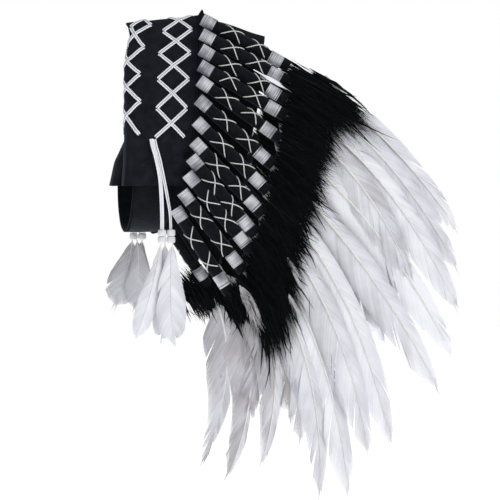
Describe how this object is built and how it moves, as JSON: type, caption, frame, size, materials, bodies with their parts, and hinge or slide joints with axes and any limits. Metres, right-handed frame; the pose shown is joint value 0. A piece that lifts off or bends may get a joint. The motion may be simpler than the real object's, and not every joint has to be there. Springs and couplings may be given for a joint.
{
  "type": "feathered headdress",
  "caption": "Felt band worn round the head, with a laced face, rolled sleeves that fan out long plumes over soft fluff, and bead and feather drops at the temples.",
  "frame": {"origin": "The middle of the head opening, where a head holds the headdress.", "axes": "+Z runs from the back of the band up to its front fold, as it hangs; +X runs from the opening's lower edge toward the plumes; +Y runs from the left side to the right."},
  "size_m": [0.3729, 0.2407, 0.518],
  "materials": {
    "black_felt": "thick black wool felt",
    "thin_black_felt": "thin black felt",
    "rolled_felt": "rolled black felt wound with white thread",
    "white_lace": "flat white lace",
    "white_bead": "moulded white bead",
    "white_feather": "white goose feather",
    "black_fluff": "dyed black down"
  },
  "bodies": {
    "root": {"bead_LA1": "white_bead", "bead_LA2": "white_bead", "bead_LB1": "white_bead", "bead_LB2": "white_bead", "bead_RA1": "white_bead", "bead_RA2": "white_bead", "bead_RB1": "white_bead", "bead_RB2": "white_bead", "crown_backing": "thin_black_felt", "drop_feather_L1": "white_feather", "drop_feather_L2": "white_feather", "drop_feather_L3": "white_feather", "drop_feather_R1": "white_feather", "drop_feather_R2": "white_feather", "drop_feather_R3": "white_feather", "fluff_left": "black_fluff", "fluff_right": "black_fluff", "headband": "black_felt", "lace_LA": "white_lace", "lace_LB": "white_lace", "lace_RA": "white_lace", "lace_RB": "white_lace", "lacing_lower": "white_lace", "lacing_upper": "white_lace", "plumes_left": "white_feather", "plumes_right": "white_feather", "rear_strap": "thin_black_felt", "sleeve_L01": "rolled_felt", "sleeve_L02": "rolled_felt", "sleeve_L03": "rolled_felt", "sleeve_L04": "rolled_felt", "sleeve_L05": "rolled_felt", "sleeve_L06": "rolled_felt", "sleeve_L07": "rolled_felt", "sleeve_L08": "rolled_felt", "sleeve_L09": "rolled_felt", "sleeve_L10": "rolled_felt", "sleeve_L11": "rolled_felt", "sleeve_L12": "rolled_felt", "sleeve_R01": "rolled_felt", "sleeve_R02": "rolled_felt", "sleeve_R03": "rolled_felt", "sleeve_R04": "rolled_felt", "sleeve_R05": "rolled_felt", "sleeve_R06": "rolled_felt", "sleeve_R07": "rolled_felt", "sleeve_R08": "rolled_felt", "sleeve_R09": "rolled_felt", "sleeve_R10": "rolled_felt", "sleeve_R11": "rolled_felt", "sleeve_R12": "rolled_felt"}
  },
  "joints": []
}
